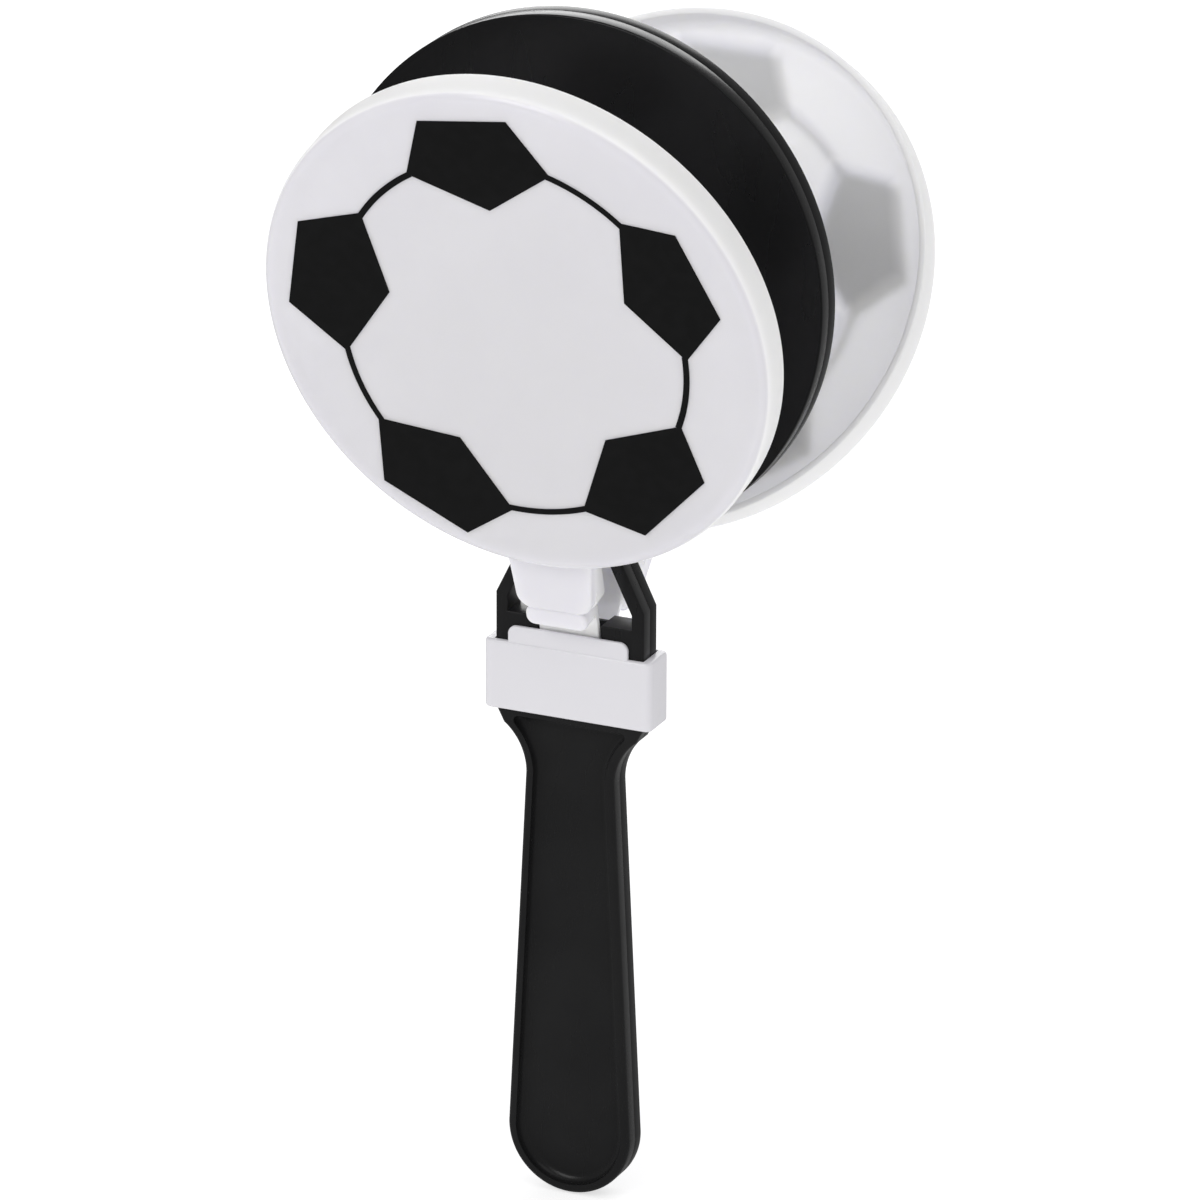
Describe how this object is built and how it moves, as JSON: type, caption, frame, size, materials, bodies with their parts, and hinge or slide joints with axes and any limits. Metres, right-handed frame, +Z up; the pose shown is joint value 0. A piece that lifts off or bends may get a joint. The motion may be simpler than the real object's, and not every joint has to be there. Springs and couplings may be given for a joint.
{
  "type": "hand clapper",
  "caption": "Hand clapper: a round black paddle on a handle, with a hinged white dished plate on each side that swings against the disc and claps",
  "frame": {"origin": "the middle of the grip, half way between the butt and the underside of the collar, in the mid-plane of the paddle", "axes": "+Z up the handle to the disc, -Y the side of the plate that stands nearly closed (the front), +X to the right seen from the front"},
  "size_m": [0.12, 0.1356, 0.2782],
  "materials": {
    "paddle": "glossy on the disc, satin on the grip",
    "plate": "satin moulded white that lets a little light through",
    "collar": "satin moulded white",
    "ink": "satin printed ink"
  },
  "bodies": {
    "paddle": {"paddle_front_shell": "paddle", "paddle_rear_shell": "paddle", "neck_collar": "collar"},
    "front_clapper": {"front_plate": "plate", "front_print": "ink"},
    "rear_clapper": {"rear_plate": "plate", "rear_print": "ink"}
  },
  "joints": [
    {"name": "front_hinge", "type": "hinge", "parent": "paddle", "child": "front_clapper", "pos_m": [0, -0.002, 0.07093], "axis": [-1, 0, 0], "range_deg": [0, 13.3]},
    {"name": "rear_hinge", "type": "hinge", "parent": "paddle", "child": "rear_clapper", "pos_m": [0, 0.002, 0.07093], "axis": [1, 0, 0], "range_deg": [0, 31.4]}
  ]
}
